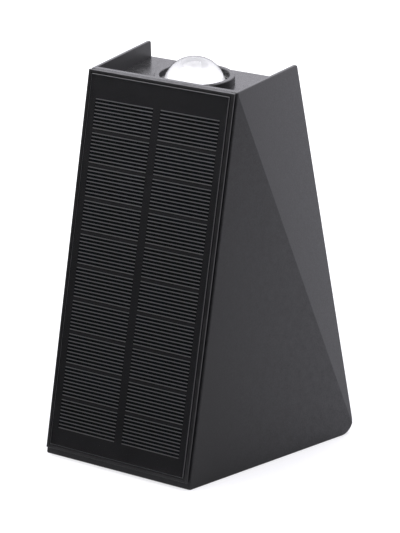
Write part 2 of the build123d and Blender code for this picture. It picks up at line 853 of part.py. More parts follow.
with BuildPart() as power_button:
    with BuildSketch(switch_under.offset(button_skirt_high)):
        Circle(switch_chamber_radius - button_gap)
    extrude(amount=button_skirt)
    with BuildSketch(switch_under.offset(button_skirt_low)):
        Circle(switch_bore_radius - button_gap)
    extrude(amount=button_low - button_skirt_low)
    button_face = power_button.faces().sort_by(Axis.Z)[0]
    fillet(button_face.edges(), radius=button_edge_radius)
save(power_button.part, "power_button")


def return_dome_outline():
    dome_edge = switch_chamber_radius - button_gap
    Polyline(
        (0, button_skirt_high),
        (return_dome_head_radius, button_skirt_high),
        (dome_edge, chamber_top),
        (dome_edge - return_dome_wall, chamber_top),
        (return_dome_head_radius - return_dome_wall, button_skirt_high - return_dome_wall),
        (0, button_skirt_high - return_dome_wall),
        close=True,
    )


save(turned(switch_under, return_dome_outline), "return_dome")

# Wires, each from a solder point to the face of the control board
lead_start = front.offset(tray_floor).from_local_coords(Vector(0, lead_v, 0))
lead_turn = front.offset(-panel_wire_run).from_local_coords(Vector(0, lead_v, 0))


def panel_route(side):
    x = side * panel_wire_offset
    return (
        (x, lead_start.Y, lead_start.Z),
        (x, lead_turn.Y, lead_turn.Z),
        (x, -control_front, lead_turn.Z),
    )


def upper_led_route(side):
    x = side * upper_wire_offset
    y = -lens_setback - upper_wire_setback
    level = control_z + upper_wire_rise
    return (
        (x, y, upper_deck_z - board_depth - led_board_thickness),
        (x, y, level),
        (x, -control_front, level),
    )


def lower_led_route(side):
    x = side * lower_wire_offset
    y = -lens_setback - lower_wire_setback
    level = control_z - lower_wire_drop
    return (
        (x, y, lower_deck_z + board_depth + led_board_thickness),
        (x, y, level),
        (x, -control_front, level),
    )


def battery_route(side):
    x = holder_mid_x + side * (holder_inside - contact_thickness) / 2
    inner = side * battery_wire_offset
    level = control_z - battery_wire_drop
    return (
        (x, -cell_depth, contact_top),
        (x, -cell_depth, level),
        (inner, -cell_depth, level),
        (inner, -control_front, level),
    )


def switch_route(side):
    x = side * terminal_spacing / 2
    level = control_z - switch_wire_drop
    return (
        (x, switch_y, lower_deck_z - switch_back + terminal_length),
        (x, switch_y, level),
        (x, -control_front, level),
    )


save(wire_pair(panel_route), "panel_wires")
save(wire_pair(upper_led_route), "upper_led_wires")
save(wire_pair(lower_led_route), "lower_led_wires")
save(wire_pair(battery_route), "battery_wires")
save(wire_pair(switch_route), "switch_wires")
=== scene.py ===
from functools import wraps
from math import atan2, cos, pi, radians, sin, sqrt

import bmesh
import bpy
from bpy.props import FloatProperty, FloatVectorProperty, IntProperty, PointerProperty
from bpy.types import NodeSocket, Operator, Panel, PropertyGroup
from mathutils import Matrix, Vector


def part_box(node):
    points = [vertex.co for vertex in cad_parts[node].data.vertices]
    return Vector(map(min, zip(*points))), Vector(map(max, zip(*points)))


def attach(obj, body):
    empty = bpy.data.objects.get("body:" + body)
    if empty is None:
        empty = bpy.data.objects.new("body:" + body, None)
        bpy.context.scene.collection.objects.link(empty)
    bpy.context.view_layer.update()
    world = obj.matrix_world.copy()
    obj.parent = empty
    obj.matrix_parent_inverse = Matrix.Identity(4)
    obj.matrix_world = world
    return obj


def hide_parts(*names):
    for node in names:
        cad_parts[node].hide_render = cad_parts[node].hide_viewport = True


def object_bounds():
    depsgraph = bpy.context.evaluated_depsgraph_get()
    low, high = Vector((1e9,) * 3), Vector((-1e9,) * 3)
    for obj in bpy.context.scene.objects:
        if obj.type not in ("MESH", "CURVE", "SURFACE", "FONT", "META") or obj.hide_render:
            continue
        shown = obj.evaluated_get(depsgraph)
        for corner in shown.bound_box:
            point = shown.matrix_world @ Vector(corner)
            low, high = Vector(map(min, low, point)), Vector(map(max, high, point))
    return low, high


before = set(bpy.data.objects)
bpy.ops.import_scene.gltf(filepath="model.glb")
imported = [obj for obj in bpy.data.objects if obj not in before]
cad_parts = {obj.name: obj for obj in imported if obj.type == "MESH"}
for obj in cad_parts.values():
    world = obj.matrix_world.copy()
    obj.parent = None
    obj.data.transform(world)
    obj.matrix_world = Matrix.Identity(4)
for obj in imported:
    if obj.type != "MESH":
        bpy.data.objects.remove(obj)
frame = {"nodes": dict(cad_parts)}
CAD_BOX = [list(corner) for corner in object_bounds()]
NODES = frame["nodes"]

bl_info = {
    "name": "Solar wall light",
    "version": (1, 0, 0),
    "blender": (4, 5, 0),
    "location": "View3D > Sidebar > Solar light",
    "description": "Dresses the packed solar wall light and sets its studio",
    "category": "Object",
}

# How far the solar front leans back, and over what height, in metres
FRONT_LEAN = 0.0377
FRONT_HEIGHT = 0.1565
# Corners closer than MERGE are one corner, in metres
MERGE = 1e-7
# Corners within NEAR of a plane lie on it, and corners within ROUND_NEAR of a radius lie on that, in metres
NEAR = 1e-6
ROUND_NEAR = 1e-5
# How far the normal of a face that looks along a direction, or squarely along it, agrees with it
LOOKS_ALONG = 0.9
LOOKS_SQUARELY = 0.99
# Edges that turn by more than this stay sharp
SHARP_ANGLE = radians(35)
WHITE = (1.0, 1.0, 1.0, 1.0)
# Nearly all of a noise lies between these values
NOISE_LOW = 0.3
NOISE_HIGH = 0.7
# Rings in the push button's end: width over the stem's radius, and rise over the groove's depth
BUTTON_RINGS = ((0.12, 0.0), (0.03, -1.0), (0.06, 0.0), (0.03, 0.6), (0.2, -0.5), (0.2, -0.25))
# Place and size of each softbox in metres, and the stage setting that holds its power
SOFTBOXES = {
    "Top softbox": ((-0.25, 0.25, 1.3), 1.0, "top_lamp"),
    "Front softbox": ((-0.15, -0.35, 0.5), 0.8, "front_lamp"),
    "Side softbox": ((1.4, 0.1, 0.7), 0.9, "side_lamp"),
    "Left softbox": ((-1.2, -0.25, 0.45), 0.6, "left_lamp"),
}
# The softbox under the floor: its depth below the floor and its size, in metres
UNDER_DEPTH = 0.5
UNDER_SIZE = 0.2


# Settings
def length(name, description, default, precision=5):
    """A length setting in metres."""
    return FloatProperty(
        name=name, description=description, default=default, unit="LENGTH", precision=precision
    )


def angle(name, description, default):
    """An angle setting in radians."""
    return FloatProperty(name=name, description=description, default=default, subtype="ANGLE")


def power(name, description, default):
    """A lamp's power setting in watts."""
    return FloatProperty(name=name, description=description, default=default, unit="POWER")


def number(name, description, default):
    """A setting without a unit."""
    return FloatProperty(name=name, description=description, default=default)


def count(name, description, default):
    """A setting that counts."""
    return IntProperty(name=name, description=description, default=default)


def colour(name, description, red, green, blue):
    """A colour setting in linear light."""
    tone = (red, green, blue)
    return FloatVectorProperty(
        name=name, description=description, default=tone, subtype="COLOR", size=3, min=0.0, max=1.0
    )


class SolarLightSizes(PropertyGroup):
    """Sizes of the solar front, the lenses, the lamps, the screws and the push button."""

    panel_tilt: angle("Panel tilt", "Lean of the solar front from upright", atan2(FRONT_LEAN, FRONT_HEIGHT))
    cell_rows: count("Cell rows", "Rows of solar cells", 10)
    cell_columns: count("Cell columns", "Columns of solar cells", 2)
    row_gap: length("Row gap", "Bare board between two rows of cells", 0.00132)
    column_gap: length("Column gap", "Bare board between the columns", 0.0033)
    finger_count: count("Fingers", "Printed silver lines on a cell", 9)
    finger_width: length("Finger width", "Width of a printed line", 0.00046)
    finger_height: length("Finger height", "Height of a printed line", 0.00003, precision=6)
    finger_margin: length("Finger margin", "From a cell's edge to its lines", 0.00012)
    finger_round: number("Finger round", "Bevel of a printed line over its height", 0.4)
    glaze_bevel: length("Glaze bevel", "Width of the frosted edge of the clear glaze", 0.00024)
    glaze_bond: length("Glaze bond", "Clear bond between the cells and the glaze", 0.00006)
    dome_radius: length("Dome radius", "Radius of a lens's dome", 0.0133)
    flange_thickness: length("Flange thickness", "Height of a lens's flange", 0.0023)
    plug_radius: length("Plug radius", "Radius of the plug under a lens", 0.0122)
    plug_length: length("Plug length", "Length of the plug under a lens", 0.002)
    lens_edge: length("Lens edge", "Rounding of a lens's moulded edges", 0.00025)
    opal_reach: number("Opal reach", "Height of the white diffuser over the plug's length", 1.01)
    phosphor_radius: length("Phosphor radius", "Radius of an LED's dome", 0.0018)
    phosphor_foot: number("Phosphor foot", "Radius of the dome's foot over the dome's radius", 1.15)
    phosphor_film: length("Phosphor film", "Height of the dome's foot", 0.00005)
    button_stem_radius: length("Button stem", "Radius of the push button's stem", 0.004)
    button_skirt: length("Button skirt", "Height of the push button's skirt", 0.0045)
    button_edge: length("Button edge", "Rounding of the push button's end", 0.0008)
    button_groove: length("Button groove", "Depth of the ring in the button's end", 0.0003)
    screw_head_radius: length("Screw head radius", "Radius of a cover screw's head", 0.0028)
    screw_head_height: length("Screw head height", "Height of a cover screw's head", 0.0017)
    screw_head_round: number("Screw head round", "Rounding of the head over its height", 0.55)
    screw_shank_radius: length("Screw shank radius", "Radius of a cover screw's shank", 0.00125)
    screw_point: number("Screw point", "Length of the point over the shank's radius", 1.5)
    screw_tip: number("Screw tip", "Radius of the tip over the shank's radius", 0.2)
    screw_cross_reach: number("Cross reach", "Length of a cross slot over the head's radius", 1.25)
    screw_cross_width: length("Cross width", "Width of the cross recess at the top", 0.0008)
    screw_cross_depth: length("Cross depth", "Depth of the cross recess", 0.0009)
    screw_cross_slope: number("Cross slope", "Width of the cross at its bottom over that at its top", 0.5)


class SolarLightColours(PropertyGroup):
    """Colours of every finish, in linear light."""

    housing: colour("Housing", "Moulded black plastic of the housing", 0.015, 0.015, 0.016)
    frame: colour("Frame", "Black plastic of the solar frame", 0.009, 0.009, 0.0095)
    board: colour("Board", "Bare board between the cells", 0.0138, 0.0135, 0.0146)
    cell: colour("Cell", "Silicon of the solar cells", 0.0014, 0.0014, 0.0019)
    finger: colour("Finger", "Printed silver lines", 0.087, 0.086, 0.089)
    lens: colour("Lens", "Clear plastic of the lenses", 0.985, 0.99, 0.995)
    # Painted shade: a grey outline where a lens is seen edge on
    lens_painted_outline: colour("Painted lens outline", "Lenses where they are seen edge on", 0.42, 0.42, 0.44)
    glaze: colour("Glaze", "Clear cover of the solar front", 0.97, 0.975, 0.98)
    frost: colour("Frosted edge", "Cut edge of the clear glaze", 0.085, 0.085, 0.088)
    opal: colour("Opal", "White diffuser under each lens", 0.76, 0.76, 0.77)
    reflector: colour("Reflector", "White plastic of the reflectors", 0.82, 0.82, 0.82)
    led_board: colour("LED board", "White mask of the LED boards", 0.74, 0.74, 0.71)
    phosphor: colour("Phosphor", "Domes of the LEDs", 0.86, 0.62, 0.13)
    steel: colour("Steel", "Zinc plated screws", 0.52, 0.52, 0.54)
    nickel: colour("Nickel", "Battery contacts", 0.66, 0.63, 0.57)
    rubber: colour("Rubber", "Seals, gaskets and the return dome", 0.014, 0.014, 0.014)
    circuit: colour("Circuit board", "Green mask of the control board", 0.012, 0.085, 0.032)
    trace: colour("Trace", "Copper under the green mask", 0.03, 0.17, 0.06)
    component: colour("Component", "Moulded chip and inductor", 0.012, 0.012, 0.013)
    can: colour("Can", "Aluminium can of the capacitor", 0.6, 0.6, 0.62)
    sleeve: colour("Battery sleeve", "Shrink sleeve of the battery", 0.02, 0.075, 0.21)
    holder: colour("Holder", "Black plastic of the battery holder", 0.013, 0.013, 0.013)
    switch: colour("Switch", "Plastic of the push switch", 0.01, 0.01, 0.0105)
    button: colour("Button", "Cap of the push button", 0.014, 0.014, 0.015)
    wire_live: colour("Live wire", "Sleeve of the right-hand wires", 0.33, 0.012, 0.01)
    wire_return: colour("Return wire", "Sleeve of the left-hand wires", 0.012, 0.012, 0.012)
    dust: colour("Dust", "Fine dust on what faces up", 0.16, 0.155, 0.145)


class SolarLightStage(PropertyGroup):
    """Camera, lamps and floor."""

    camera_place: FloatVectorProperty(
        name="Camera place",
        description="Where the camera stands",
        default=(0.4869, -0.839, 0.3265),
        subtype="TRANSLATION",
        unit="LENGTH",
        size=3,
    )
    camera_turn: angle("Camera turn", "Turn of the camera to the right", radians(30.651))
    camera_drop: angle("Camera drop", "How far the camera looks down", radians(21.227))
    camera_film: number("Camera film", "Long side of the film in millimetres", 36.0)
    camera_lens: number("Camera lens", "Focal length in millimetres", 164.9)
    floor_reach: length("Floor reach", "Half the width of the floor", 1.1, precision=2)
    floor_window: length("Floor window", "Half the width of the square that lets light in from below", 0.042)
    # Painted shadow: the floor beside the light is darker than the far floor, which darkens what the light's
    # lower sides reflect
    floor_near_painted_shadow: colour("Near floor painted shadow", "Floor beside the light", 0.5, 0.5, 0.515)
    floor_far: colour("Far floor", "Floor far to the right", 0.76, 0.76, 0.78)
    # Painted shade: the floor at the left and in front stands for the dim room there
    floor_left_painted_shade: colour("Left floor painted shade", "Floor at the left", 0.32, 0.32, 0.33)
    floor_front_painted_shade: colour("Front floor painted shade", "Floor in front of the light", 0.05, 0.05, 0.05)
    floor_white: number("Floor white", "White that the floor adds where the camera sees it", 0.5)
    floor_gloss: number("Floor gloss", "White that the floor adds where gloss and clear pieces see it", 0.1)
    back_glow: number("Back glow", "Level of the white behind the light", 1.6)
    front_glow: number("Front glow", "Level of the room in front of the light", 0.1)
    room_tint: colour("Room tint", "Cool white of the room's own light", 0.94, 0.925, 1.0)
    top_lamp: power("Top lamp", "Power of the softbox overhead", 9.0)
    front_lamp: power("Front lamp", "Power of the softbox above the front", 3.3)
    side_lamp: power("Side lamp", "Power of the softbox at the right", 2.0)
    left_lamp: power("Left lamp", "Power of the softbox at the left", 1.6)
    under_lamp: power("Under lamp", "Power of the softbox under the floor, for the underside", 1.2)


# Shader helpers
def feed(tree, target, values):
    """Set plain values on a node's inputs, and link those that vary."""
    for socket, value in values.items():
        if isinstance(value, NodeSocket):
            tree.links.new(value, target.inputs[socket])
        else:
            target.inputs[socket].default_value = value


def node(tree, kind, inputs=None, **settings):
    """Add a shader node with its settings and its inputs."""
    made = tree.nodes.new(kind)
    for setting, value in settings.items():
        setattr(made, setting, value)
    feed(tree, made, inputs or {})
    return made


def compute(tree, operation, first, second=0.0):
    """The result of a Math node."""
    return node(tree, "ShaderNodeMath", {0: first, 1: second}, operation=operation).outputs[0]


def product(tree, first, second):
    """Two values multiplied."""
    return compute(tree, "MULTIPLY", first, second)


def average(tree, first, second):
    """The mean of two values."""
    return compute(tree, "ADD", product(tree, first, 0.5), product(tree, second, 0.5))


def clamped(tree, value):
    """A value kept between 0 and 1."""
    return node(tree, "ShaderNodeClamp", {"Value": value}).outputs[0]


def span(tree, value, low, high, start=0.0, end=1.0):
    """A value read as a share of the span from low to high, and given out between a start and an end."""
    inputs = {"Value": value, "From Min": low, "From Max": high, "To Min": start, "To Max": end}
    return node(tree, "ShaderNodeMapRange", inputs).outputs["Result"]


def spread(tree, noise_value, start, end):
    """A noise given out between a start and an end."""
    return span(tree, noise_value, NOISE_LOW, NOISE_HIGH, start, end)


def around(tree, mask, middle, drift):
    """A value that a mask moves around a middle."""
    return span(tree, mask, 0.0, 1.0, middle - drift, middle + drift)


def object_place(tree):
    """Coordinates in the light's own frame."""
    return node(tree, "ShaderNodeTexCoord").outputs["Object"]


def parts_of(tree, vector):
    """The X, Y and Z of a vector."""
    return node(tree, "ShaderNodeSeparateXYZ", {"Vector": vector}).outputs


def surface_normal(tree):
    """Where the surface faces."""
    return node(tree, "ShaderNodeNewGeometry").outputs["Normal"]


def dot(tree, first, second):
    """How far two directions agree."""
    made = node(tree, "ShaderNodeVectorMath", {0: first, 1: second}, operation="DOT_PRODUCT")
    return made.outputs["Value"]


def noise(tree, scale, detail=2.0, roughness=0.5, place=None):
    """A noise with so many waves to the metre."""
    inputs = {"Scale": scale, "Detail": detail, "Roughness": roughness}
    inputs["Vector"] = object_place(tree) if place is None else place
    return node(tree, "ShaderNodeTexNoise", inputs).outputs["Fac"]


def mix_colour(tree, factor, first, second, **settings):
    """Two colours mixed by a mask; inputs 6 and 7 and output 2 of a Mix node are its colours."""
    inputs = {0: factor, 6: first, 7: second}
    return node(tree, "ShaderNodeMix", inputs, data_type="RGBA", **settings).outputs[2]


def scaled(tree, tone, factor):
    """A colour made lighter or darker by a factor that varies."""
    return mix_colour(tree, 1.0, tone, factor, blend_type="MULTIPLY", clamp_result=False)


def rgba(tone, lift=1.0):
    """A colour setting as a shader colour, made lighter or darker by a factor."""
    return (*[min(1.0, channel * lift) for channel in tone], 1.0)


def shaded(tree, mask, tone, start, end):
    """A colour that a mask takes from one shade to another."""
    return mix_colour(tree, mask, rgba(tone, lift=start), rgba(tone, lift=end))


def bump(tree, height, distance, strength):
    """The normal of a surface that is raised by a height."""
    made = node(tree, "ShaderNodeBump", {"Strength": strength, "Distance": distance, "Height": height})
    return made.outputs["Normal"]


def show_through(tree, mask, shader):
    """Make a material clear where a mask says so."""
    clear = node(tree, "ShaderNodeBsdfTransparent").outputs[0]
    blend = node(tree, "ShaderNodeMixShader", {0: mask, 1: shader.outputs[0], 2: clear})
    feed(tree, tree.nodes["Material Output"], {"Surface": blend.outputs[0]})


def let_light_through(tree, shader, gloss=False):
    """Let light pass straight through a clear piece to what lies under it."""
    rays = node(tree, "ShaderNodeLightPath").outputs
    passing = compute(tree, "MAXIMUM", rays["Is Shadow Ray"], rays["Is Diffuse Ray"])
    if gloss:
        passing = compute(tree, "MAXIMUM", passing, rays["Is Glossy Ray"])
    show_through(tree, passing, shader)


# Shared effects
def new_group(name, inputs, outputs):
    """An empty shader group with number inputs and outputs."""
    group = bpy.data.node_groups.new(name, "ShaderNodeTree")
    for socket, default in inputs.items():
        made = group.interface.new_socket(socket, in_out="INPUT", socket_type="NodeSocketFloat")
        made.default_value = default
    for socket in outputs:
        group.interface.new_socket(socket, in_out="OUTPUT", socket_type="NodeSocketFloat")
    return group, group.nodes.new("NodeGroupInput").outputs, group.nodes.new("NodeGroupOutput")


def build_grain_group(name):
    """Fine spark grain of a mould, and broad mottling where the plastic cooled."""
    inputs = {"Grains per metre": 1600.0, "Mottles per metre": 60.0}
    group, given, result = new_group(name, inputs, ("Height", "Mottle"))
    place = object_place(group)
    fine = noise(group, given["Grains per metre"], detail=3.0, roughness=0.6, place=place)
    broad = noise(group, given["Mottles per metre"], detail=4.0, roughness=0.55, place=place)
    feed(group, result, {"Height": fine, "Mottle": spread(group, broad, 0.0, 1.0)})


def build_edge_wear_and_sheen_group(name):
    """Where edges are rubbed a little smoother, and paler partly from wear and partly from a painted sheen.
    """
    group, given, result = new_group(name, {"Radius": 0.0006, "Gain": 3.0}, ("Edge",))
    rounded = node(group, "ShaderNodeBevel", {"Radius": given["Radius"]}, samples=4).outputs[0]
    away = compute(group, "SUBTRACT", 1.0, dot(group, rounded, surface_normal(group)))
    patches = span(group, noise(group, 260.0, detail=3.0), low=0.25, high=0.75, start=0.35, end=1.0)
    gain = product(group, given["Gain"], patches)
    feed(group, result, {"Edge": clamped(group, product(group, away, gain))})


def build_dust_group(name):
    """Thin dust on what faces up."""
    group, given, result = new_group(name, {"Amount": 0.1}, ("Dust",))
    up = span(group, parts_of(group, surface_normal(group))["Z"], low=0.35, high=1.0)
    clouds = span(group, noise(group, 90.0, detail=6.0), low=0.35, high=0.75)
    specks = span(group, noise(group, 1500.0), low=0.4, high=0.7)
    amount = product(group, product(group, up, product(group, clouds, specks)), given["Amount"])
    feed(group, result, {"Dust": amount})


def build_panel_shade_group(name):
    """Painted shade: how far up the solar front a place is, for colours that darken towards its foot, where
    less light falls.
    """
    group, given, result = new_group(name, {"Foot": 0.65}, ("Fade",))
    low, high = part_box("solar_board")
    height = parts_of(group, object_place(group))["Z"]
    feed(group, result, {"Fade": span(group, height, low.z, high.z, given["Foot"], 1.0)})


EFFECTS = {
    "Moulded grain": build_grain_group,
    "Rubbed edges": build_edge_wear_and_sheen_group,
    "Settled dust": build_dust_group,
    "Panel fade": build_panel_shade_group,
}


def effect(tree, name, values=None):
    """Put a shared effect into a material with its own values, and build it the first time."""
    if name not in bpy.data.node_groups:
        EFFECTS[name](name)
    return node(tree, "ShaderNodeGroup", values, node_tree=bpy.data.node_groups[name]).outputs


def with_painted_panel_shade(tree, tone):
    """A colour darkened by painted shade towards the foot of the solar front."""
    return scaled(tree, tone, effect(tree, "Panel fade")["Fade"])


# Finishes
def recipe(shader_values):
    """Make a function that gives a shader's values into one that takes a name and builds the material."""

    @wraps(shader_values)
    def build(name, *tones, **settings):
        material = bpy.data.materials.new(name)
        material.use_nodes = True
        tree = material.node_tree
        feed(tree, tree.nodes["Principled BSDF"], shader_values(tree, *tones, **settings))
        return material

    return build


def painted_side_light(tree):
    """Painted light: a factor that pales the outer side walls towards the back, where more light falls on
    them.
    """
    front, back = -0.07, 0.0
    at_front, at_back = 0.4, 2.3
    place = parts_of(tree, object_place(tree))
    across = parts_of(tree, surface_normal(tree))["X"]
    outer = span(tree, product(tree, across, compute(tree, "SIGN", place["X"])), low=0.7, high=0.9)
    paler = compute(tree, "SUBTRACT", span(tree, place["Y"], front, back, at_front, at_back), 1.0)
    return compute(tree, "ADD", 1.0, product(tree, outer, paler))


def polished_decks(tree, polish):
    """How much smoother the level faces are."""
    level = compute(tree, "ABSOLUTE", parts_of(tree, surface_normal(tree))["Z"])
    return span(tree, level, low=0.85, high=0.97, start=0.0, end=polish)


@recipe
def moulded_plastic(tree, tone, dust_tone, roughness, grain=0.3, housing=False):
    """Moulded plastic with grain, dust, and rubbed edges with a painted sheen; the housing has painted light
    that pales its sides towards the back, and polished decks.
    """
    texture = effect(tree, "Moulded grain", {"Mottles per metre": 320.0})
    edge = effect(tree, "Rubbed edges")["Edge"]
    dust = effect(tree, "Settled dust")["Dust"]
    speckle = span(tree, texture["Height"], low=0.35, high=0.65)
    body = shaded(tree, average(tree, texture["Mottle"], speckle), tone, start=0.45, end=1.55)
    rough = around(tree, texture["Mottle"], roughness, drift=0.07)
    if housing:
        # Painted light: the housing's outer side walls grow paler towards the back
        body = scaled(tree, body, painted_side_light(tree))
        rough = compute(tree, "SUBTRACT", rough, polished_decks(tree, polish=0.42 * roughness))
    # Edges paler partly from wear and partly from a painted sheen
    rubbed = mix_colour(tree, edge, body, rgba(tone, lift=2.2))
    edge_polish = product(tree, edge, 0.06)
    return {
        "IOR": 1.46,
        "Base Color": mix_colour(tree, dust, rubbed, rgba(dust_tone)),
        "Roughness": compute(tree, "ADD", compute(tree, "SUBTRACT", rough, edge_polish), dust),
        "Normal": bump(tree, texture["Height"], distance=0.00005, strength=grain),
    }


@recipe
def silicon(tree, tone):
    """Dark silicon under its bond, whose blue shifts a little from place to place."""
    drift = noise(tree, 70.0)
    bluer = (tone[0] * 0.9, tone[1] * 1.1, tone[2] * 1.6, 1.0)
    body = mix_colour(tree, span(tree, drift, low=0.35, high=0.65), rgba(tone), bluer)
    return {
        "Specular IOR Level": 0.05,
        # Painted shade, darker towards the foot of the solar front
        "Base Color": with_painted_panel_shade(tree, body),
        "Roughness": spread(tree, drift, 0.3, 0.4),
    }


@recipe
def printed_silver(tree, tone):
    """Screen-printed paste with an uneven top."""
    uneven = noise(tree, 900.0, detail=3.0)
    return {
        "IOR": 1.5,
        # Painted shade, darker towards the foot of the solar front
        "Base Color": with_painted_panel_shade(tree, shaded(tree, uneven, tone, start=0.85, end=1.15)),
        "Roughness": spread(tree, uneven, 0.45, 0.6),
    }


@recipe
def woven_board(tree, tone):
    """Black mask over woven glass fibre, under the bond of the glaze."""
    place = object_place(tree)
    waves = {"Vector": place, "Scale": 420.0}
    threads = [node(tree, "ShaderNodeTexWave", waves, bands_direction=axis).outputs["Fac"] for axis in "XZ"]
    weave = product(tree, *threads)
    drift = noise(tree, 120.0, detail=3.0, place=place)
    return {
        "Specular IOR Level": 0.1,
        # Painted shade, darker towards the foot of the solar front
        "Base Color": with_painted_panel_shade(tree, shaded(tree, average(tree, weave, drift), tone, start=0.8, end=1.2)),
        "Roughness": spread(tree, drift, 0.5, 0.62),
        "Normal": bump(tree, weave, distance=0.00002, strength=0.15),
    }


@recipe
def clear_glaze(tree, tone):
    """Clear cover with faint smears."""
    let_light_through(tree, tree.nodes["Principled BSDF"], gloss=True)
    smears = noise(tree, 55.0, detail=5.0)
    return {
        "IOR": 1.3,
        "Transmission Weight": 1.0,
        "Base Color": rgba(tone),
        "Roughness": span(tree, smears, low=0.35, high=0.75, start=0.03, end=0.09),
    }


@recipe
def clear_lens(tree, tone, painted_outline_tone):
    """Polished clear plastic with the faintest flow marks, with painted rim shade and a painted grey outline
    where it is seen edge on.
    """
    facing = node(tree, "ShaderNodeLayerWeight").outputs["Facing"]
    # Painted rim shade and a painted grey outline where the lens is seen edge on
    painted_rim_shade = compute(tree, "POWER", facing, 2.0)
    thin_rim = compute(tree, "POWER", facing, 6.0)
    line = clamped(tree, product(tree, thin_rim, 2.0))
    clear = tree.nodes["Principled BSDF"].outputs[0]
    grey = node(tree, "ShaderNodeBsdfTransparent", {"Color": rgba(painted_outline_tone)}).outputs[0]
    let_light_through(tree, node(tree, "ShaderNodeMixShader", {0: line, 1: clear, 2: grey}))
    return {
        "IOR": 1.49,
        "Transmission Weight": 1.0,
        "Base Color": shaded(tree, painted_rim_shade, tone, start=1.0, end=0.3),
        "Roughness": spread(tree, noise(tree, 160.0), 0.0, 0.025),
    }


@recipe
def white_plastic(tree, tone, roughness):
    """Glossy white plastic or solder mask with slight shading."""
    texture = effect(tree, "Moulded grain", {"Grains per metre": 900.0})
    return {
        "IOR": 1.5,
        "Base Color": shaded(tree, texture["Mottle"], tone, start=0.95, end=1.03),
        "Roughness": around(tree, texture["Mottle"], roughness, drift=0.05),
        "Normal": bump(tree, texture["Height"], distance=0.00004, strength=0.08),
    }


@recipe
def phosphor(tree, tone):
    """Yellow phosphor in clear silicone."""
    grit = noise(tree, 4200.0)
    return {
        "IOR": 1.42,
        "Coat Roughness": 0.05,
        "Base Color": shaded(tree, grit, tone, start=0.85, end=1.1),
        "Roughness": spread(tree, grit, 0.3, 0.45),
    }


@recipe
def plated_metal(tree, tone, roughness):
    """Plated metal with fine drag marks."""
    stretch = {"Vector": object_place(tree), "Scale": (1.0, 1.0, 9.0)}
    marks = noise(tree, 700.0, detail=4.0, place=node(tree, "ShaderNodeMapping", stretch).outputs[0])
    drift = 0.08
    return {
        "Metallic": 1.0,
        "Base Color": shaded(tree, noise(tree, 300.0), tone, start=0.85, end=1.1),
        "Roughness": spread(tree, marks, roughness - drift, roughness + drift),
        "Normal": bump(tree, marks, distance=0.00002, strength=0.15),
    }


@recipe
def seal_rubber(tree, tone):
    """Dull rubber with a talc bloom."""
    texture = effect(tree, "Moulded grain", {"Grains per metre": 1400.0, "Mottles per metre": 120.0})
    return {
        "IOR": 1.5,
        "Base Color": shaded(tree, texture["Mottle"], tone, start=0.8, end=1.7),
        "Roughness": around(tree, texture["Mottle"], 0.75, drift=0.07),
        "Normal": bump(tree, texture["Height"], distance=0.00006, strength=0.2),
    }


@recipe
def masked_circuit(tree, tone, trace_tone):
    """Green solder mask with copper runs that show through."""
    place = object_place(tree)
    cells = {"Vector": place, "Scale": 190.0}
    runs = node(tree, "ShaderNodeTexVoronoi", cells, feature="DISTANCE_TO_EDGE", distance="EUCLIDEAN")
    copper = span(tree, runs.outputs["Distance"], low=0.07, high=0.1, start=1.0, end=0.0)
    drift = noise(tree, 80.0, place=place)
    ground = shaded(tree, drift, tone, start=0.9, end=1.1)
    return {
        "IOR": 1.5,
        "Coat Roughness": 0.2,
        "Base Color": mix_colour(tree, copper, ground, rgba(trace_tone)),
        "Roughness": spread(tree, drift, 0.28, 0.38),
        "Normal": bump(tree, copper, distance=0.00003, strength=0.3),
    }


@recipe
def battery_sleeve(tree, tone, metal_tone):
    """Shrink sleeve over the cell, with bare metal at both ends."""
    bare_end, sleeve_lip = 0.0012, 0.0005
    low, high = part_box("battery")
    end = (high.x - low.x) / 2 - bare_end
    along = compute(tree, "SUBTRACT", parts_of(tree, object_place(tree))["X"], (low.x + high.x) / 2)
    bare = span(tree, compute(tree, "ABSOLUTE", along), low=end - sleeve_lip, high=end)
    wrinkle = noise(tree, 210.0)
    sleeve = shaded(tree, wrinkle, tone, start=0.9, end=1.1)
    return {
        "IOR": 1.5,
        "Base Color": mix_colour(tree, bare, sleeve, rgba(metal_tone)),
        "Metallic": bare,
        "Roughness": spread(tree, wrinkle, 0.25, 0.35),
        "Normal": bump(tree, wrinkle, distance=0.0001, strength=0.15),
    }


@recipe
def wire_sleeves(tree, live_tone, return_tone):
    """Soft sleeves, one colour on each side of the middle."""
    place = object_place(tree)
    right = compute(tree, "GREATER_THAN", parts_of(tree, place)["X"], 0.0)
    return {
        "IOR": 1.5,
        "Base Color": mix_colour(tree, right, rgba(return_tone), rgba(live_tone)),
        "Roughness": spread(tree, noise(tree, 800.0, place=place), 0.4, 0.55),
    }


# Places
def middle_of(name):
    """The middle of a CAD node's box."""
    low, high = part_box(name)
    return (low + high) / 2


def panel_along(sizes):
    """Up the slope of the solar front."""
    return Vector((0.0, sin(sizes.panel_tilt), cos(sizes.panel_tilt)))


def panel_outward(sizes):
    """Straight out of the solar front."""
    return Vector((0.0, -cos(sizes.panel_tilt), sin(sizes.panel_tilt)))


def panel_reach(name, direction):
    """Lowest and highest reach of a CAD node along a direction."""
    reach = [vertex.co.dot(direction) for vertex in NODES[name].data.vertices]
    return min(reach), max(reach)


# Modelling helpers
def dress(finish, *names):
    """Give CAD nodes a finish."""
    for name in names:
        mesh = NODES[name].data
        mesh.materials.clear()
        mesh.materials.append(finish)


def select_only(piece):
    """Select one object alone and make it the active one."""
    bpy.ops.object.select_all(action="DESELECT")
    piece.select_set(True)
    bpy.context.view_layer.objects.active = piece


def name_active(name):
    """Name the active object and its mesh."""
    piece = bpy.context.active_object
    piece.name = name
    piece.data.name = name
    return piece


def apply_place():
    """Put the active object's place into its mesh."""
    bpy.ops.object.transform_apply(location=True, rotation=True, scale=True)


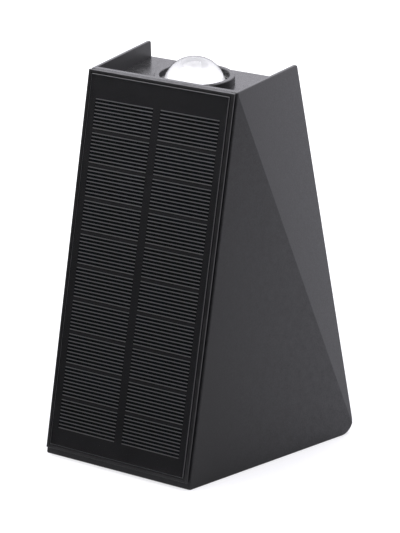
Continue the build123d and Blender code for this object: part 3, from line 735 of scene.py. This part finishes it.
def start_piece(name, add_primitive, **settings):
    """Add a primitive with nothing else selected and open it in edit mode with its place in its mesh."""
    bpy.ops.object.select_all(action="DESELECT")
    add_primitive(**settings)
    piece = name_active(name)
    apply_place()
    bpy.ops.object.mode_set(mode="EDIT")
    return piece


def apply_modifier(piece, kind, **settings):
    """Add a modifier, set it and apply it."""
    bpy.ops.object.modifier_add(type=kind)
    modifier = piece.modifiers[-1]
    for setting, value in settings.items():
        setattr(modifier, setting, value)
    bpy.ops.object.modifier_apply(modifier=modifier.name)


def close_piece(piece, finish):
    """Close the mesh, turn its faces outwards, shade it and give it a finish."""
    bpy.ops.object.mode_set(mode="EDIT")
    bpy.ops.mesh.select_all(action="SELECT")
    bpy.ops.mesh.remove_doubles(threshold=MERGE)
    bpy.ops.mesh.normals_make_consistent(inside=False)
    bpy.ops.object.mode_set(mode="OBJECT")
    bpy.ops.object.shade_smooth_by_angle(angle=SHARP_ANGLE)
    apply_modifier(piece, "WEIGHTED_NORMAL", keep_sharp=True)
    piece.data.materials.append(finish)


def settle_piece(piece, body="light"):
    """Let a closed piece ride on a body."""
    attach(piece, body)


def copy_piece(piece, name, start, end, turn=0.0):
    """Copy a closed piece with a mesh of its own, turned about X and carried from one place to another."""
    select_only(piece)
    bpy.ops.object.duplicate()
    copy = name_active(name)
    copy.rotation_euler.x = turn
    copy.location = end - Matrix.Rotation(turn, 3, "X") @ start
    apply_place()
    return copy


def copy_turned_over(piece, name, own_node, other_node):
    """Copy a piece upside down to another node, where it sits as it does on its own."""
    return copy_piece(piece, name, middle_of(own_node), middle_of(other_node), turn=pi)


def second_finish(piece, finish, test):
    """Give the faces that pass a test a second finish."""
    piece.data.materials.append(finish)
    for face in piece.data.polygons:
        if test(face):
            face.material_index = 1


def bevel_edges(piece, test, offset, **settings):
    """Bevel the edges whose two ends pass a test."""
    bpy.ops.mesh.select_mode(type="EDGE")
    bpy.ops.mesh.select_all(action="DESELECT")
    shape = bmesh.from_edit_mesh(piece.data)
    for edge in shape.edges:
        edge.select_set(all(test(corner.co) for corner in edge.verts))
    shape.select_flush_mode()
    bmesh.update_edit_mesh(piece.data)
    bpy.ops.mesh.bevel(offset=offset, **settings)


def select_faces(piece, test):
    """Select only the faces that pass a test."""
    bpy.ops.mesh.select_mode(type="FACE")
    bpy.ops.mesh.select_all(action="DESELECT")
    shape = bmesh.from_edit_mesh(piece.data)
    for face in shape.faces:
        face.select_set(test(face))
    bmesh.update_edit_mesh(piece.data)


def push_out(step):
    """Extrude the selected faces by a step along Y."""
    bpy.ops.mesh.extrude_region_move(TRANSFORM_OT_translate={"value": (0.0, step, 0.0)})


def keep_above(place):
    """Cut a mesh in edit mode level at a place and keep what is above, with the ring of the cut selected."""
    bpy.ops.mesh.select_all(action="SELECT")
    bpy.ops.mesh.bisect(plane_co=place, plane_no=(0.0, 0.0, 1.0), clear_inner=True, threshold=MERGE)


def pull_ring(axis, scale, rise):
    """Extrude the selected ring of edges, widen it about an axis and raise it."""
    bpy.ops.mesh.extrude_edges_move()
    bpy.ops.transform.resize(value=(scale, scale, 1.0), center_override=axis)
    bpy.ops.transform.translate(value=(0.0, 0.0, rise))


def repeat_along(piece, number_of, step):
    """Repeat a mesh at even steps."""
    steps = {"use_relative_offset": False, "use_constant_offset": True, "constant_offset_displace": step}
    apply_modifier(piece, "ARRAY", count=number_of, **steps)


def turn_onto_front(piece, sizes):
    """Turn a mesh that was laid out flat onto the sloping solar front."""
    piece.rotation_euler.x = pi / 2 - sizes.panel_tilt
    apply_place()


# Pieces
def model_lens(sizes, finish, opal):
    """A clear dome with a flange, a plug and a white diffuser under it, in the shape of the upper lens."""
    low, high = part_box("upper_lens")
    middle = middle_of("upper_lens")
    axis = Vector((middle.x, middle.y, high.z - sizes.dome_radius))
    flange_radius = (high.x - low.x) / 2
    flange_foot = low.z + sizes.plug_length
    flange_top = flange_foot + sizes.flange_thickness
    foot_radius = sqrt(sizes.dome_radius**2 - (flange_top - axis.z) ** 2)
    sphere = {"segments": 96, "ring_count": 64, "radius": sizes.dome_radius, "location": axis}
    piece = start_piece("upper_lens_dome", bpy.ops.mesh.primitive_uv_sphere_add, **sphere)
    keep_above((axis.x, axis.y, flange_top))
    pull_ring(axis, flange_radius / foot_radius, 0.0)
    pull_ring(axis, 1.0, -sizes.flange_thickness)
    pull_ring(axis, sizes.plug_radius / flange_radius, 0.0)
    pull_ring(axis, 1.0, -sizes.plug_length / 2)
    pull_ring(axis, 1.0, -sizes.plug_length / 2)
    bpy.ops.mesh.edge_face_add()
    rounded = {flange_top: flange_radius, flange_foot: flange_radius, low.z: sizes.plug_radius}

    def on_moulded_edge(corner):
        reach = Vector((corner.x - axis.x, corner.y - axis.y)).length
        return any(abs(corner.z - z) < NEAR and abs(reach - r) < ROUND_NEAR for z, r in rounded.items())

    bevel_edges(piece, on_moulded_edge, sizes.lens_edge, segments=3)
    close_piece(piece, finish)
    opal_top = low.z + sizes.opal_reach * sizes.plug_length
    second_finish(piece, opal, lambda face: face.center.z < opal_top)
    return piece


def model_led_dome(sizes, finish):
    """The phosphor dome on the upper LED, with a thin foot."""
    middle = middle_of("upper_led")
    place = Vector((middle.x, middle.y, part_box("upper_led")[1].z))
    sphere = {"segments": 48, "ring_count": 24, "radius": sizes.phosphor_radius, "location": place}
    piece = start_piece("upper_led_dome", bpy.ops.mesh.primitive_uv_sphere_add, **sphere)
    keep_above(place)
    pull_ring(place, sizes.phosphor_foot, 0.0)
    pull_ring(place, 1.0, -sizes.phosphor_film)
    bpy.ops.mesh.edge_face_add()
    close_piece(piece, finish)
    return piece


def model_glaze(sizes, finish, frost):
    """The clear cover of the cells, a plate whose front edges are bevelled and frosted."""
    outward = panel_outward(sizes)
    low, high = panel_reach("solar_glaze", panel_along(sizes))
    under, face = panel_reach("solar_glaze", outward)
    under += sizes.glaze_bond
    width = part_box("solar_glaze")[1].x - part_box("solar_glaze")[0].x
    place = (0.0, (low + high) / 2, (under + face) / 2)
    plate = {"location": place, "scale": (width, high - low, face - under)}
    piece = start_piece("clear_cover", bpy.ops.mesh.primitive_cube_add, size=1.0, **plate)
    bevel_edges(piece, lambda corner: abs(corner.z - face) < NEAR, sizes.glaze_bevel, segments=2)
    bpy.ops.object.mode_set(mode="OBJECT")
    turn_onto_front(piece, sizes)
    close_piece(piece, finish)
    second_finish(piece, frost, lambda side: abs(side.normal.dot(outward)) < LOOKS_SQUARELY)
    settle_piece(piece)
    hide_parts("solar_glaze")


def model_fingers(sizes, finish):
    """The printed silver lines: one line, repeated over a cell, its column and both columns."""
    low, high = panel_reach("solar_cells", panel_along(sizes))
    face = panel_reach("solar_cells", panel_outward(sizes))[1]
    left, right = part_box("solar_cells")[0].x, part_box("solar_cells")[1].x
    cell_height = (high - low - (sizes.cell_rows - 1) * sizes.row_gap) / sizes.cell_rows
    cell_width = (right - left - (sizes.cell_columns - 1) * sizes.column_gap) / sizes.cell_columns
    first = low + sizes.finger_margin + sizes.finger_width / 2
    pitch = (cell_height - 2 * sizes.finger_margin - sizes.finger_width) / (sizes.finger_count - 1)
    line = {
        "location": (left + cell_width / 2, first, face + sizes.finger_height / 2),
        "scale": (cell_width - 2 * sizes.finger_margin, sizes.finger_width, sizes.finger_height),
    }
    piece = start_piece("solar_fingers", bpy.ops.mesh.primitive_cube_add, size=1.0, **line)
    top = face + sizes.finger_height
    bevel_edges(piece, lambda corner: abs(corner.z - top) < NEAR, sizes.finger_round * sizes.finger_height)
    bpy.ops.object.mode_set(mode="OBJECT")
    repeat_along(piece, sizes.finger_count, (0.0, pitch, 0.0))
    repeat_along(piece, sizes.cell_rows, (0.0, cell_height + sizes.row_gap, 0.0))
    repeat_along(piece, sizes.cell_columns, (cell_width + sizes.column_gap, 0.0, 0.0))
    turn_onto_front(piece, sizes)
    close_piece(piece, finish)
    settle_piece(piece)


def cover_screw_places(sizes):
    """The tops of the cover screws' heads, by name; the upper pair is closer together."""
    low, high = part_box("cover_screws")
    inset = sizes.screw_head_radius
    upper_reach = max(v.co.x for v in NODES["cover_screws"].data.vertices if v.co.z > 0.0)
    return {
        "cover_screw_lower_left": Vector((low.x + inset, high.y, low.z + inset)),
        "cover_screw_lower_right": Vector((high.x - inset, high.y, low.z + inset)),
        "cover_screw_upper_left": Vector((inset - upper_reach, high.y, high.z - inset)),
        "cover_screw_upper_right": Vector((upper_reach - inset, high.y, high.z - inset)),
    }


def model_cover_screw(name, head_top, sizes, finish):
    """A pan-head screw with a tapered cross recess, its axis along the wall's normal."""
    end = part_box("cover_screws")[0].y
    seat = head_top - Vector((0.0, sizes.screw_head_height, 0.0))
    head = {
        "vertices": 48,
        "radius": sizes.screw_head_radius,
        "depth": sizes.screw_head_height,
        "location": (head_top + seat) / 2,
        "rotation": (pi / 2, 0.0, 0.0),
    }
    piece = start_piece(name, bpy.ops.mesh.primitive_cylinder_add, **head)
    select_faces(piece, lambda face: face.normal.y < -LOOKS_ALONG)
    bpy.ops.mesh.inset(thickness=sizes.screw_head_radius - sizes.screw_shank_radius)
    point = sizes.screw_point * sizes.screw_shank_radius
    push_out(end + point - seat.y)
    push_out(-point)
    tip = (sizes.screw_tip, 1.0, sizes.screw_tip)
    bpy.ops.transform.resize(value=tip, center_override=(head_top.x, end, head_top.z))
    rounding = sizes.screw_head_round * sizes.screw_head_height
    bevel_edges(piece, lambda corner: abs(corner.y - head_top.y) < NEAR, rounding, segments=6, profile=0.6)
    bpy.ops.object.mode_set(mode="OBJECT")
    reach = sizes.screw_cross_reach * sizes.screw_head_radius
    depth = 2.0 * sizes.screw_cross_depth
    slope = sizes.screw_cross_slope
    cut_slot(piece, head_top, (reach, depth, sizes.screw_cross_width), (1.0, 1.0, slope))
    cut_slot(piece, head_top, (sizes.screw_cross_width, depth, reach), (slope, 1.0, 1.0))
    close_piece(piece, finish)
    return piece


def cut_slot(piece, head_top, blade, taper):
    """Cut one slot of a cross recess with a blade that tapers towards its bottom."""
    cube = {"location": head_top, "scale": blade}
    cutter = start_piece("cross_cutter", bpy.ops.mesh.primitive_cube_add, size=1.0, **cube)
    select_faces(cutter, lambda face: face.normal.y < -LOOKS_ALONG)
    bpy.ops.transform.resize(value=taper, center_override=head_top)
    bpy.ops.object.mode_set(mode="OBJECT")
    select_only(piece)
    apply_modifier(piece, "BOOLEAN", operation="DIFFERENCE", object=cutter, solver="EXACT")
    bpy.data.objects.remove(cutter)


def model_button(sizes, finish):
    """The push button: a stem with a rounded end, a groove and a shallow dish, on a wider skirt."""
    low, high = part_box("power_button")
    middle = middle_of("power_button")
    shoulder = high.z - sizes.button_skirt
    stem = {
        "vertices": 64,
        "radius": sizes.button_stem_radius,
        "depth": shoulder - low.z,
        "location": (middle.x, middle.y, (low.z + shoulder) / 2),
    }
    piece = start_piece("push_button", bpy.ops.mesh.primitive_cylinder_add, **stem)
    select_faces(piece, lambda face: face.normal.z > LOOKS_ALONG)
    widen = (high.x - low.x) / 2 / sizes.button_stem_radius
    bpy.ops.mesh.extrude_region_move()
    bpy.ops.transform.resize(value=(widen, widen, 1.0), center_override=middle)
    bpy.ops.mesh.extrude_region_move(TRANSFORM_OT_translate={"value": (0.0, 0.0, sizes.button_skirt)})
    bevel_edges(piece, lambda corner: abs(corner.z - low.z) < NEAR, sizes.button_edge, segments=6)
    select_faces(piece, lambda face: all(abs(corner.co.z - low.z) < NEAR for corner in face.verts))
    for width, rise in BUTTON_RINGS:
        bpy.ops.mesh.inset(thickness=width * sizes.button_stem_radius, depth=rise * sizes.button_groove)
    close_piece(piece, finish)
    settle_piece(piece, body="button")
    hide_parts("power_button")


class SOLARLIGHT_OT_housing(Operator):
    """Finish the moulded housing, its back cover, seal and solar frame"""

    bl_idname = "solarlight.housing"
    bl_label = "Housing"

    def execute(self, context):
        tones = context.scene.solar_light_colours
        shell = moulded_plastic(
            "Housing plastic", tones.housing, tones.dust, roughness=0.42, grain=0.6, housing=True
        )
        dress(shell, "housing", "back_cover")
        tray = moulded_plastic("Frame plastic", tones.frame, tones.dust, roughness=0.36, grain=0.06)
        dress(tray, "solar_frame")
        rubber = seal_rubber("Seal rubber", tones.rubber)
        dress(rubber, "back_seal", "solar_adhesive", "switch_washer", "return_dome")
        dress(rubber, "upper_lens_gasket", "lower_lens_gasket")
        return {"FINISHED"}


class SOLARLIGHT_OT_solar_front(Operator):
    """Model the clear cover, print the silver lines on the cells and finish the solar front"""

    bl_idname = "solarlight.solar_front"
    bl_label = "Solar front"

    def execute(self, context):
        sizes = context.scene.solar_light_sizes
        tones = context.scene.solar_light_colours
        dress(woven_board("Panel board", tones.board), "solar_board")
        dress(silicon("Cell silicon", tones.cell), "solar_cells")
        frost = white_plastic("Frosted edge", tones.frost, roughness=0.45)
        model_glaze(sizes, clear_glaze("Clear glaze", tones.glaze), frost)
        model_fingers(sizes, printed_silver("Printed silver", tones.finger))
        return {"FINISHED"}


class SOLARLIGHT_OT_lamps(Operator):
    """Model both lenses and both LED domes, and finish the reflectors and LED boards"""

    bl_idname = "solarlight.lamps"
    bl_label = "Lamps"

    def execute(self, context):
        sizes = context.scene.solar_light_sizes
        tones = context.scene.solar_light_colours
        clear = clear_lens("Lens plastic", tones.lens, tones.lens_painted_outline)
        lens = model_lens(sizes, clear, white_plastic("Opal diffuser", tones.opal, roughness=0.5))
        dome = model_led_dome(sizes, phosphor("LED phosphor", tones.phosphor))
        lower_lens = copy_turned_over(lens, "lower_lens_dome", "upper_lens", "lower_lens")
        lower_dome = copy_turned_over(dome, "lower_led_dome", "upper_led", "lower_led")
        for piece, node_name in ((lens, "upper_lens"), (lower_lens, "lower_lens")):
            settle_piece(piece)
            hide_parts(node_name)
        for piece in (dome, lower_dome):
            settle_piece(piece)
        reflector = white_plastic("Reflector plastic", tones.reflector, roughness=0.25)
        dress(reflector, "upper_reflector", "lower_reflector")
        mask = white_plastic("LED board mask", tones.led_board, roughness=0.4)
        dress(mask, "upper_led_board", "lower_led_board", "upper_led", "lower_led")
        return {"FINISHED"}


class SOLARLIGHT_OT_fasteners(Operator):
    """Model the cover screws and finish every other screw"""

    bl_idname = "solarlight.fasteners"
    bl_label = "Fasteners"

    def execute(self, context):
        sizes = context.scene.solar_light_sizes
        steel = plated_metal("Zinc plated steel", context.scene.solar_light_colours.steel, roughness=0.32)
        (first_name, first_place), *others = cover_screw_places(sizes).items()
        screws = [model_cover_screw(first_name, first_place, sizes, steel)]
        for name, place in others:
            screws.append(copy_piece(screws[0], name, first_place, place))
        for screw in screws:
            settle_piece(screw)
            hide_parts("cover_screws")
        dress(steel, "upper_led_screws", "lower_led_screws", "control_screws", "holder_screws")
        return {"FINISHED"}


class SOLARLIGHT_OT_switch(Operator):
    """Model the push button and finish its switch"""

    bl_idname = "solarlight.switch"
    bl_label = "Push switch"

    def execute(self, context):
        tones = context.scene.solar_light_colours
        body = moulded_plastic("Switch plastic", tones.switch, tones.dust, roughness=0.3, grain=0.05)
        dress(body, "switch_body", "switch_nut")
        cap = moulded_plastic("Button plastic", tones.button, tones.dust, roughness=0.38, grain=0.1)
        model_button(context.scene.solar_light_sizes, cap)
        return {"FINISHED"}


class SOLARLIGHT_OT_inside(Operator):
    """Finish what the closed housing holds"""

    bl_idname = "solarlight.inside"
    bl_label = "Inside"

    def execute(self, context):
        tones = context.scene.solar_light_colours
        dress(masked_circuit("Circuit mask", tones.circuit, tones.trace), "control_board")
        component = moulded_plastic("Component plastic", tones.component, tones.dust, roughness=0.45)
        dress(component, "control_chip", "inductor")
        dress(plated_metal("Capacitor can", tones.can, roughness=0.35), "capacitor")
        dress(battery_sleeve("Battery sleeve", tones.sleeve, tones.steel), "battery")
        dress(moulded_plastic("Holder plastic", tones.holder, tones.dust, roughness=0.5), "battery_holder")
        dress(plated_metal("Nickel plate", tones.nickel, roughness=0.22), "battery_contacts")
        sleeves = wire_sleeves("Wire sleeves", tones.wire_live, tones.wire_return)
        dress(sleeves, "panel_wires", "upper_led_wires", "lower_led_wires", "battery_wires", "switch_wires")
        return {"FINISHED"}


# Stage
@recipe
def pale_floor(tree, stage):
    """Pale floor, darker at the left and in front with painted shade and beside the light with a painted
    shadow, that looks white and is clear from below.
    """
    place = parts_of(tree, object_place(tree))
    forward = compute(tree, "ADD", place["Y"], product(tree, place["X"], 0.5))
    left = span(tree, place["X"], low=0.0, high=-0.25)
    front = span(tree, forward, low=-0.06, high=-0.2)
    far = span(tree, place["X"], low=0.04, high=0.5)
    # Painted shadow on the floor beside the light
    right_tone = mix_colour(tree, far, rgba(stage.floor_near_painted_shadow), rgba(stage.floor_far))
    side_tone = mix_colour(tree, left, right_tone, rgba(stage.floor_left_painted_shade))
    # Painted shade where the room is dim, at the left and in front
    painted_room_shade = compute(tree, "MAXIMUM", left, front)
    rays = node(tree, "ShaderNodeLightPath").outputs
    mirrored = compute(tree, "MAXIMUM", rays["Is Glossy Ray"], rays["Is Transmission Ray"])
    gloss = product(tree, mirrored, span(tree, painted_room_shade, 0.0, 1.0, stage.floor_gloss, 0.0))
    white = product(tree, rays["Is Camera Ray"], span(tree, painted_room_shade, 0.0, 1.0, stage.floor_white, 1.0))
    offsets = [compute(tree, "ABSOLUTE", place[axis]) for axis in "XY"]
    under = compute(tree, "LESS_THAN", compute(tree, "MAXIMUM", *offsets), stage.floor_window)
    lit_from_below = product(tree, rays["Is Shadow Ray"], under)
    seen_from_below = node(tree, "ShaderNodeNewGeometry").outputs["Backfacing"]
    clear = compute(tree, "MAXIMUM", seen_from_below, lit_from_below)
    show_through(tree, clear, tree.nodes["Principled BSDF"])
    return {
        "Specular IOR Level": 0.0,
        "Base Color": mix_colour(tree, front, side_tone, rgba(stage.floor_front_painted_shade)),
        "Roughness": 1.0,
        "Emission Color": WHITE,
        "Emission Strength": compute(tree, "ADD", gloss, white),
    }


def set_world(scene, stage):
    """White behind and above the light, and a dimmer room in front of it."""
    world = bpy.data.worlds.new("Studio")
    scene.world = world
    world.use_nodes = True
    tree = world.node_tree
    towards_back = (-0.25, 0.85, 0.45)
    agreement = dot(tree, node(tree, "ShaderNodeTexCoord").outputs["Generated"], towards_back)
    glow = span(tree, agreement, low=-0.6, high=0.8, start=stage.front_glow, end=stage.back_glow)
    camera = node(tree, "ShaderNodeLightPath").outputs["Is Camera Ray"]
    varying = {
        "Color": mix_colour(tree, camera, rgba(stage.room_tint), WHITE),
        "Strength": node(tree, "ShaderNodeMix", {0: camera, 2: glow, 3: 1.0}, data_type="FLOAT").outputs[0],
    }
    feed(tree, tree.nodes["Background"], varying)


def add_softbox(name, place, aim, size, watts):
    """A square area lamp that points at a place."""
    lamp = bpy.data.lights.new(name, "AREA")
    lamp.size = size
    lamp.energy = watts
    holder = bpy.data.objects.new(name, lamp)
    bpy.context.scene.collection.objects.link(holder)
    holder.visible_camera = False
    holder.location = place
    holder.rotation_euler = (Vector(aim) - Vector(place)).to_track_quat("-Z", "Y").to_euler()


def add_camera(scene, stage):
    """The camera at the photograph's view."""
    view = bpy.data.cameras.new("Photo camera")
    view.sensor_width = stage.camera_film
    view.lens = stage.camera_lens
    camera = bpy.data.objects.new("Photo camera", view)
    scene.collection.objects.link(camera)
    camera.location = stage.camera_place
    camera.rotation_euler = (pi / 2 - stage.camera_drop, 0.0, stage.camera_turn)
    scene.camera = camera


class SOLARLIGHT_OT_stage(Operator):
    """Set the floor, the soft light and the camera"""

    bl_idname = "solarlight.stage"
    bl_label = "Stage"

    def execute(self, context):
        scene = context.scene
        stage = scene.solar_light_stage
        middle = (Vector(CAD_BOX[0]) + Vector(CAD_BOX[1])) / 2
        foot = Vector((middle.x, middle.y, CAD_BOX[0][2]))
        bpy.ops.object.select_all(action="DESELECT")
        bpy.ops.mesh.primitive_plane_add(size=2 * stage.floor_reach, location=foot)
        floor = name_active("studio_floor")
        floor.data.materials.append(pale_floor("Studio floor", stage))
        set_world(scene, stage)
        for name, (place, size, setting) in SOFTBOXES.items():
            add_softbox(name, place, middle, size, getattr(stage, setting))
        below = foot - Vector((0.0, 0.0, UNDER_DEPTH))
        add_softbox("Under softbox", below, middle, UNDER_SIZE, stage.under_lamp)
        add_camera(scene, stage)
        scene.view_settings.view_transform = "Standard"
        return {"FINISHED"}


STEPS = (
    SOLARLIGHT_OT_housing,
    SOLARLIGHT_OT_solar_front,
    SOLARLIGHT_OT_lamps,
    SOLARLIGHT_OT_fasteners,
    SOLARLIGHT_OT_switch,
    SOLARLIGHT_OT_inside,
    SOLARLIGHT_OT_stage,
)


class SOLARLIGHT_PT_steps(Panel):
    """The steps that dress the light"""

    bl_idname = "SOLARLIGHT_PT_steps"
    bl_label = "Solar wall light"
    bl_space_type = "VIEW_3D"
    bl_region_type = "UI"
    bl_category = "Solar light"

    def draw(self, context):
        for step in STEPS:
            self.layout.operator(step.bl_idname)


SETTINGS = {
    "solar_light_sizes": SolarLightSizes,
    "solar_light_colours": SolarLightColours,
    "solar_light_stage": SolarLightStage,
}


def register():
    for kind in (*SETTINGS.values(), *STEPS, SOLARLIGHT_PT_steps):
        bpy.utils.register_class(kind)
    for name, kind in SETTINGS.items():
        setattr(bpy.types.Scene, name, PointerProperty(type=kind))


def unregister():
    for name in SETTINGS:
        delattr(bpy.types.Scene, name)
    for kind in (SOLARLIGHT_PT_steps, *reversed(STEPS), *SETTINGS.values()):
        bpy.utils.unregister_class(kind)


def main():
    register()
    bpy.ops.solarlight.housing()
    bpy.ops.solarlight.solar_front()
    bpy.ops.solarlight.lamps()
    bpy.ops.solarlight.fasteners()
    bpy.ops.solarlight.switch()
    bpy.ops.solarlight.inside()
    bpy.ops.solarlight.stage()


if __name__ == "__main__":
    main()
